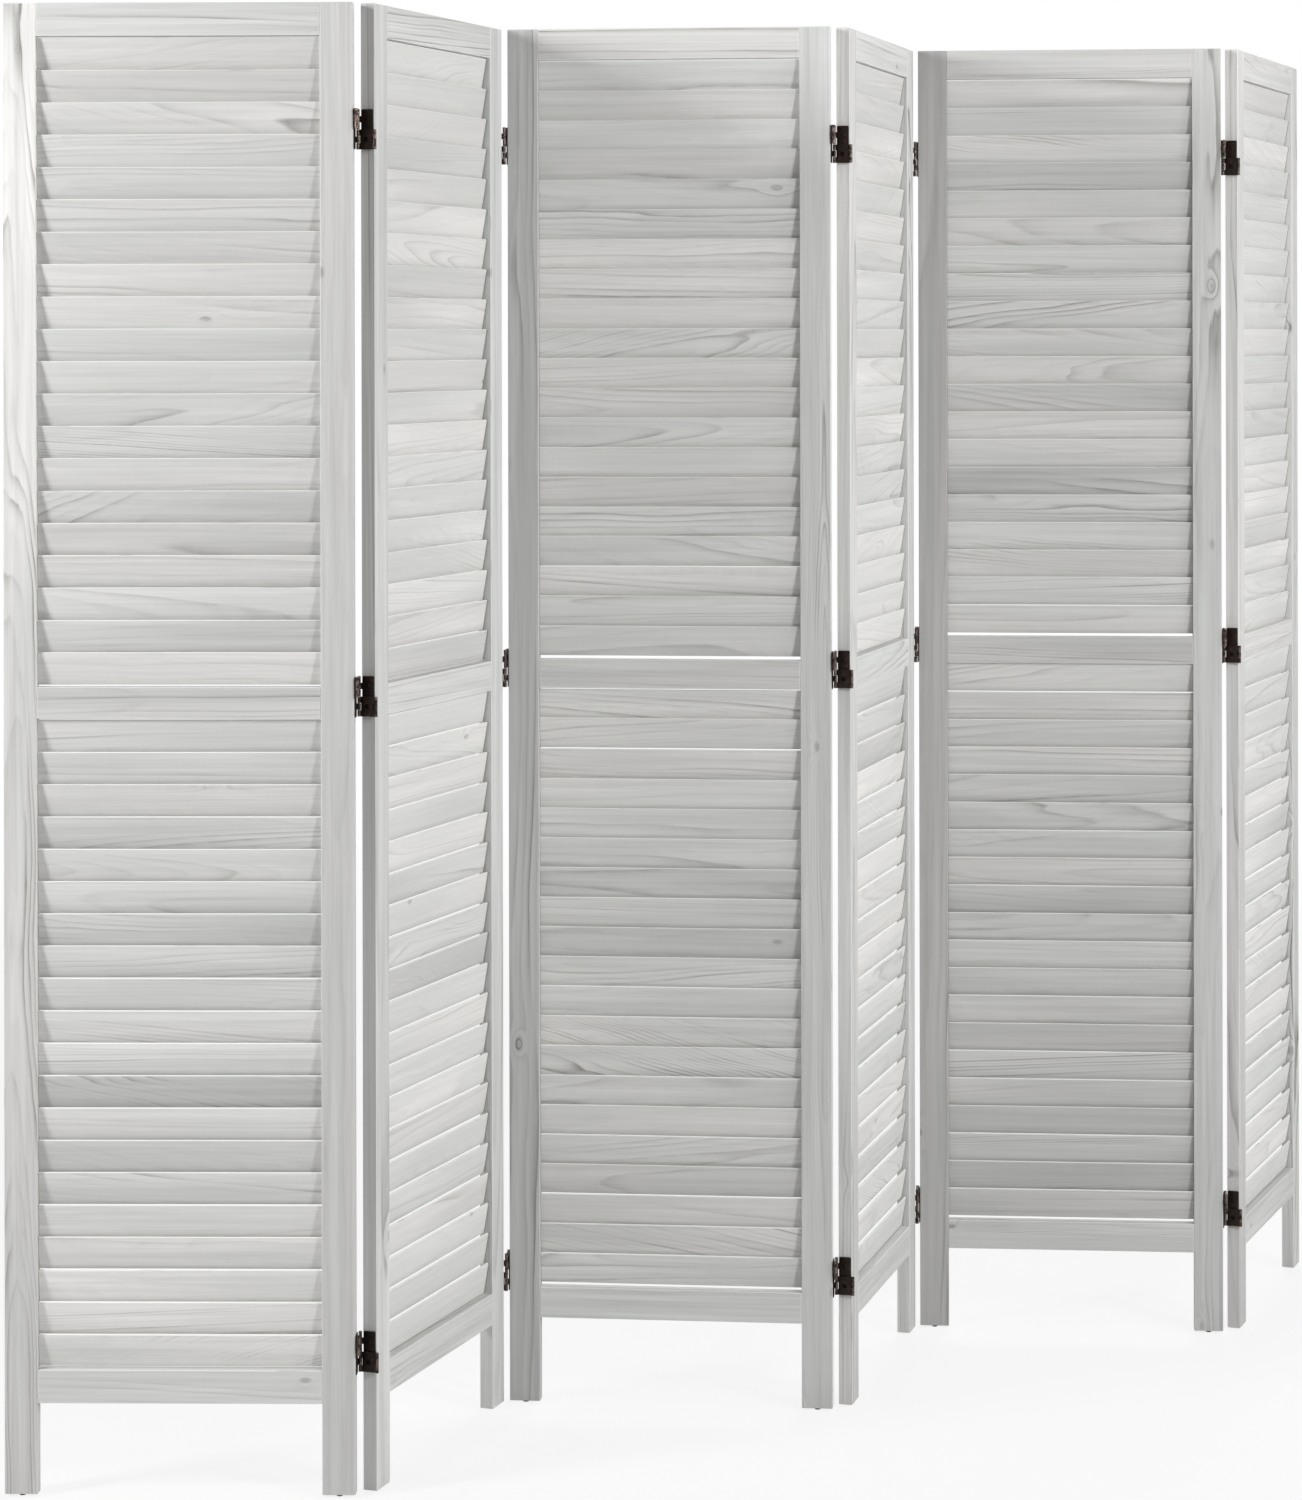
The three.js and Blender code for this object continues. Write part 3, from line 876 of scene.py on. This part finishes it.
# One mesh serves every side of every hinge. A half turn about z makes it the right side of a hinge
# that turns on its front pins, and half turns about x and y make the other two.
bronze = dark_bronze()
hinge_side = hinge_side_mesh()
half_turn = {"": Matrix.Identity(4)} | {a: Matrix.Rotation(math.pi, 4, a) for a in "XYZ"}
turned_over = {("rear", "left"): "", ("rear", "right"): "Y",
               ("front", "left"): "X", ("front", "right"): "Z"}
for number, joint in enumerate(frame["joints"], 1):
    pin = stands[number].inverted() @ Vector(joint["pos_m"])
    fold = "rear" if pin.y > panel_thickness / 2 else "front"
    for level in ("top", "middle", "bottom"):
        for side, panel, x in (("left", number, panel_width + half_gap),
                               ("right", number + 1, -half_gap)):
            node = f"hinge_{number}_{number + 1}_{level}_{side}_side"
            low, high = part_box(node)
            place = Matrix.Translation((x, panel_thickness / 2, (low.z + high.z) / 2))
            mesh = hinge_side.copy()
            mesh.transform(place @ half_turn[turned_over[fold, side]])
            stood(node.replace("_side", "_leaf_and_link"), mesh, panel, "hinge", node)
bpy.data.meshes.remove(hinge_side)


# The screws: a small cross-head screw in each half of a leaf, of the same dark bronzed steel. Its
# head sinks into the leaf and stands up in a low dome. A hole in the link lets the driver through.
screw_sizes = {
    "Head Radius": 2.35 * mm,
    "Dome Height": 0.55 * mm,
    "Recess Length": 2.3 * mm,
    "Recess Width": 0.5 * mm,
    "Recess Depth": 0.35 * mm,
    "Half Spacing": screw_level,
    "Middle": Vector((panel_width / 2, panel_thickness / 2, 0)),
    "Leaf from Middle": panel_width / 2 + plate + leaf_to_wood,
    "Hinge Levels": Vector([sum(corner.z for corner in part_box(f"hinge_1_2_{level}_left_side")) / 2
                            for level in ("bottom", "middle", "top")]),
}
screws_per_edge = 6


def screw_tree():
    graph, size = geometry_tree("screws", {**screw_sizes, "Count": 0, "First": 0, "Seed": 0})

    # One head, looking along x: a flattened ball with two slots cut across it.
    ball = graph.node("GeometryNodeMeshUVSphere", {}, {"Segments": 20, "Rings": 10, "Radius": 1.0})
    x, y, z = graph.parts(graph.node("GeometryNodeInputPosition"))
    oval = graph.vector(z * size["Dome Height"], x * size["Head Radius"], y * size["Head Radius"])
    head = graph.node("GeometryNodeSetPosition", {}, {"Geometry": ball, "Position": oval})
    depth = size["Recess Depth"] * 2.0
    for wide, tall in (("Recess Length", "Recess Width"), ("Recess Width", "Recess Length")):
        slot = graph.node("GeometryNodeMeshCube", {},
                          {"Size": graph.vector(depth, size[wide], size[tall])})
        slot = graph.node("GeometryNodeTransform", {}, {
            "Geometry": slot,
            "Translation": graph.vector(size["Dome Height"], 0.0, 0.0),
        })
        settings = {"operation": "DIFFERENCE", "solver": "MANIFOLD"}
        head = graph.node("GeometryNodeMeshBoolean", settings, {0: head, 1: slot})

    # Its places: six on the left edge from the foot up, then six on the right edge.
    index = graph.node("GeometryNodeInputIndex") + size["First"]
    on_right = index.math("FLOOR", (index + 0.5) / screws_per_edge)
    on_edge = index - on_right * screws_per_edge
    hinge = on_edge.math("FLOOR", (on_edge + 0.5) / 2)
    upper = on_edge - hinge * 2
    low, middle, high = graph.parts(size["Hinge Levels"])
    above_low = hinge.math("MINIMUM", hinge, 1.0)
    above_middle = hinge - above_low
    level = low + above_low * (middle - low) + above_middle * (high - middle)
    outward = on_right * 2 - 1
    offset = graph.vector(outward * size["Leaf from Middle"], 0.0,
                          level + (upper * 2 - 1) * size["Half Spacing"])
    points = graph.node("GeometryNodeMeshLine", {"mode": "OFFSET"}, {"Count": size["Count"]})
    points = graph.node("GeometryNodeSetPosition", {}, {
        "Geometry": points,
        "Position": graph.vectors("ADD", size["Middle"], offset),
    })
    driven = graph.node("FunctionNodeRandomValue", {"data_type": "FLOAT"},
                        {2: 0.0, 3: math.tau, "Seed": size["Seed"]}, output=1)
    turn = graph.vector(driven, 0.0, (1 - on_right) * math.pi)
    screws = graph.node("GeometryNodeInstanceOnPoints", {},
                        {"Points": points, "Instance": head,
                         "Rotation": graph.node("FunctionNodeEulerToRotation", {}, {0: turn})})
    screws = graph.node("GeometryNodeRealizeInstances", {}, {"Geometry": screws})
    screws = graph.node("GeometryNodeSetMaterial", {}, {"Geometry": screws, "Material": bronze})
    graph.node("NodeGroupOutput", {}, {"Geometry": screws})
    return graph


screw_graph = screw_tree()
for number in panel_numbers:
    edges = (number > 1) + (number < len(stands))
    own_sizes = {"Count": edges * screws_per_edge, "Seed": number,
                 "First": screws_per_edge if number == 1 else 0}
    mesh = grown(screw_graph, {**screw_sizes, **own_sizes})
    mesh.shade_smooth()
    mesh.set_sharp_from_angle(angle=math.radians(35))
    stood(f"panel_{number}_screws", mesh, number, "hinge")


# The room: a plain pale floor under an even white backdrop. Three soft lamps light the screen's
# front: a near one on the left, a more distant one on the right and a weak one at the side. A
# fourth lights its rear. The camera looks level at it, from three quarters of its height.
floor_half = 14.0
floor_grey = 0.78
# How far from the screen the floor starts to run into the backdrop, and where it is white.
fade_start, fade_end = 1.5, 6.0
near_white = 0.85
room_light = 0.12


def seen(graph):
    """1 where the camera looks, straight, off a mirror or through glass, and 0 for other light."""
    rays = [graph.node("ShaderNodeLightPath", output=name)
            for name in ("Is Camera Ray", "Is Glossy Ray", "Is Transmission Ray")]
    return rays[0].math("MAXIMUM", rays[0], rays[1].math("MAXIMUM", rays[1], rays[2]))


def stage_floor():
    mesh = bpy.data.meshes.new("floor")
    corners = [(-1, -1), (1, -1), (1, 1), (-1, 1)]
    mesh.from_pydata([(x * floor_half, y * floor_half, 0) for x, y in corners], [], [(0, 1, 2, 3)])
    floor = bpy.data.objects.new("floor", mesh)
    bpy.context.scene.collection.objects.link(floor)
    material, graph = new_material("pale floor")
    matt = graph.node("ShaderNodeBsdfDiffuse", {},
                      {"Color": (floor_grey, floor_grey, floor_grey, 1.0)})
    glow = graph.node("ShaderNodeEmission", {}, {"Color": (1, 1, 1, 1), "Strength": 1.0})
    place = graph.node("ShaderNodeTexCoord", output="Object")
    away = graph.vectors("LENGTH", place, (0, 0, 0), output="Value")
    far = graph.between(away, fade_start, fade_end)
    glowing = seen(graph) * (far * (1 - near_white) + near_white)
    blended = graph.node("ShaderNodeMixShader", {}, {0: glowing, 1: matt, 2: glow})
    graph.node("ShaderNodeOutputMaterial", {}, {"Surface": blended})
    mesh.materials.append(material)


def backdrop():
    world = bpy.data.worlds.new("studio")
    world.use_nodes = True
    world.node_tree.nodes.clear()
    graph = Graph(world.node_tree)
    lit = graph.node("ShaderNodeBackground", {}, {"Color": (1, 1, 1, 1), "Strength": room_light})
    white = graph.node("ShaderNodeBackground", {}, {"Color": (1, 1, 1, 1), "Strength": 1.0})
    blended = graph.node("ShaderNodeMixShader", {}, {0: seen(graph), 1: lit, 2: white})
    graph.node("ShaderNodeOutputWorld", {}, {"Surface": blended})
    bpy.context.scene.world = world


def soft_lamp(name, place, aim, width, height, power):
    lamp = bpy.data.lights.new(name, "AREA")
    lamp.shape = "RECTANGLE"
    lamp.size, lamp.size_y = width, height
    lamp.energy = power
    holder = bpy.data.objects.new(name, lamp)
    holder.location = place
    holder.rotation_euler = (Vector(aim) - Vector(place)).to_track_quat("-Z", "Y").to_euler()
    bpy.context.scene.collection.objects.link(holder)


# The camera, from a fit to the corners of the panels in the photo, which is 1500 pixels high.
photo_height = 1500
horizon_row = 344.3
focal_length_in_pixels = 3906.7
camera_place = (0.0026, -5.0031, 1.3101)
camera_roll = math.radians(0.111)
camera_turn = math.radians(1.07)


def level_camera():
    """Stands level, so uprights stay upright, with the frame moved down to take in the feet."""
    camera = bpy.data.cameras.new("camera")
    camera.sensor_fit = "VERTICAL"
    camera.sensor_height = 36.0
    # The width leaves this picture alone, as the height sets the lens. It keeps the camera of views
    # from other sides far enough back for the whole screen, as the frame is moved down there too.
    camera.sensor_width = 21.0
    camera.lens = focal_length_in_pixels / photo_height * camera.sensor_height
    camera.shift_y = (horizon_row - photo_height / 2) / photo_height
    camera.clip_end = 100
    holder = bpy.data.objects.new("camera", camera)
    holder.location = camera_place
    holder.rotation_euler = (math.pi / 2, camera_roll, camera_turn)
    bpy.context.scene.collection.objects.link(holder)
    bpy.context.scene.camera = holder


stage_floor()
backdrop()
soft_lamp("left lamp", (-2.6, -1.73, 2.15), aim=(-0.6, -0.6, 1.0),
          width=0.45, height=0.75, power=62)
soft_lamp("right lamp", (2.5, -2.7, 2.1), aim=(0.1, 0.0, 0.9), width=0.6, height=0.9, power=65)
soft_lamp("side lamp", (3.0, -1.2, 2.2), aim=(0.1, 0.0, 1.0), width=0.8, height=1.1, power=26)
soft_lamp("rear lamp", (0.8, 3.0, 3.2), aim=(0.0, 0.0, 0.9), width=1.4, height=1.0, power=75)
level_camera()
bpy.context.scene.view_settings.view_transform = "Standard"
